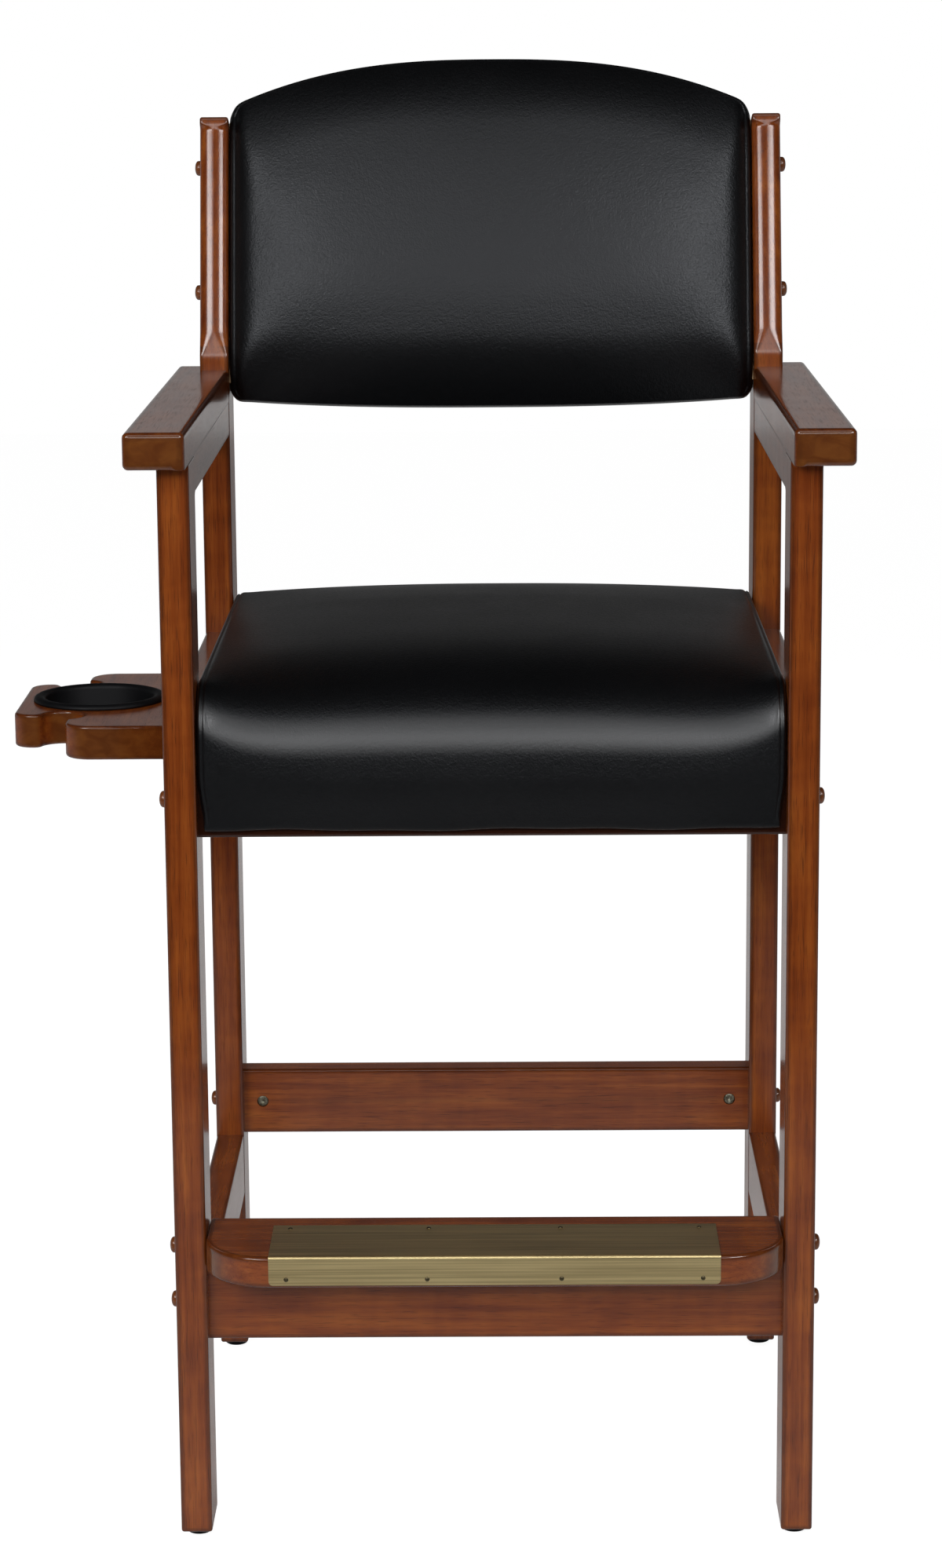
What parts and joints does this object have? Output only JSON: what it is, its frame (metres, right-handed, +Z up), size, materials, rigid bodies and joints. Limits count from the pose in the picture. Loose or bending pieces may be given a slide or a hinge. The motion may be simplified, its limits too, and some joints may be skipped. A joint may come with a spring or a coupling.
{
  "type": "billiard spectator chair",
  "caption": "Tall wooden spectator chair with black upholstered seat and arched back, arms, brass-edged foot board and a side tray with cue notches and a lift-out cup.",
  "frame": {"origin": "on the floor, under the middle of the whole object's box", "axes": "+Z up, -Y the way the sitter faces, -X the side with the cup tray"},
  "size_m": [0.6822, 0.6247, 1.1919],
  "materials": {
    "stained_wood": "satin lacquer",
    "black_leather": "soft sheen",
    "bare_plywood": "bare",
    "antique_brass": "brushed",
    "brown_bolt_cap": "satin",
    "dull_steel": "dull zinc",
    "black_glide_plastic": "matte",
    "black_cup_plastic": "satin"
  },
  "bodies": {
    "chair": {"front_leg_left": "stained_wood", "front_leg_right": "stained_wood", "back_leg_left": "stained_wood", "back_leg_right": "stained_wood", "arm_left": "stained_wood", "arm_right": "stained_wood", "arm_rail_left": "stained_wood", "arm_rail_right": "stained_wood", "seat_side_rail_left": "stained_wood", "seat_side_rail_right": "stained_wood", "side_stretcher_left": "stained_wood", "side_stretcher_right": "stained_wood", "seat_front_rail": "stained_wood", "seat_back_rail": "stained_wood", "rear_stretcher": "stained_wood", "front_stretcher": "stained_wood", "foot_board": "stained_wood", "cup_tray": "stained_wood", "seat_cushion": "black_leather", "back_cushion": "black_leather", "seat_base_panel": "bare_plywood", "back_panel": "bare_plywood", "foot_plate": "antique_brass", "bolt_seat_front_left": "brown_bolt_cap", "bolt_seat_front_right": "brown_bolt_cap", "bolt_seat_back_left": "brown_bolt_cap", "bolt_seat_back_right": "brown_bolt_cap", "bolt_rear_stretcher_left": "brown_bolt_cap", "bolt_rear_stretcher_right": "brown_bolt_cap", "bolt_front_stretcher_left": "brown_bolt_cap", "bolt_front_stretcher_right": "brown_bolt_cap", "bolt_foot_board_left": "brown_bolt_cap", "bolt_foot_board_right": "brown_bolt_cap", "bolt_back_low_left": "brown_bolt_cap", "bolt_back_low_right": "brown_bolt_cap", "bolt_back_high_left": "brown_bolt_cap", "bolt_back_high_right": "brown_bolt_cap", "barrel_nut_seat_front_left": "dull_steel", "barrel_nut_seat_front_right": "dull_steel", "barrel_nut_seat_back_left": "dull_steel", "barrel_nut_seat_back_right": "dull_steel", "barrel_nut_rear_stretcher_left": "dull_steel", "barrel_nut_rear_stretcher_right": "dull_steel", "barrel_nut_front_stretcher_left": "dull_steel", "barrel_nut_front_stretcher_right": "dull_steel", "barrel_nut_foot_board_left": "dull_steel", "barrel_nut_foot_board_right": "dull_steel", "barrel_nut_back_low_left": "dull_steel", "barrel_nut_back_low_right": "dull_steel", "barrel_nut_back_high_left": "dull_steel", "barrel_nut_back_high_right": "dull_steel", "tray_screw_front": "dull_steel", "tray_screw_back": "dull_steel", "glide_front_left": "black_glide_plastic", "glide_front_right": "black_glide_plastic", "glide_back_left": "black_glide_plastic", "glide_back_right": "black_glide_plastic"},
    "cup": {"cup_insert": "black_cup_plastic"}
  },
  "joints": [
    {"name": "cup_lift", "type": "slide", "parent": "chair", "child": "cup", "axis": [0, 0, 1], "range_m": [0, 0.06]}
  ]
}
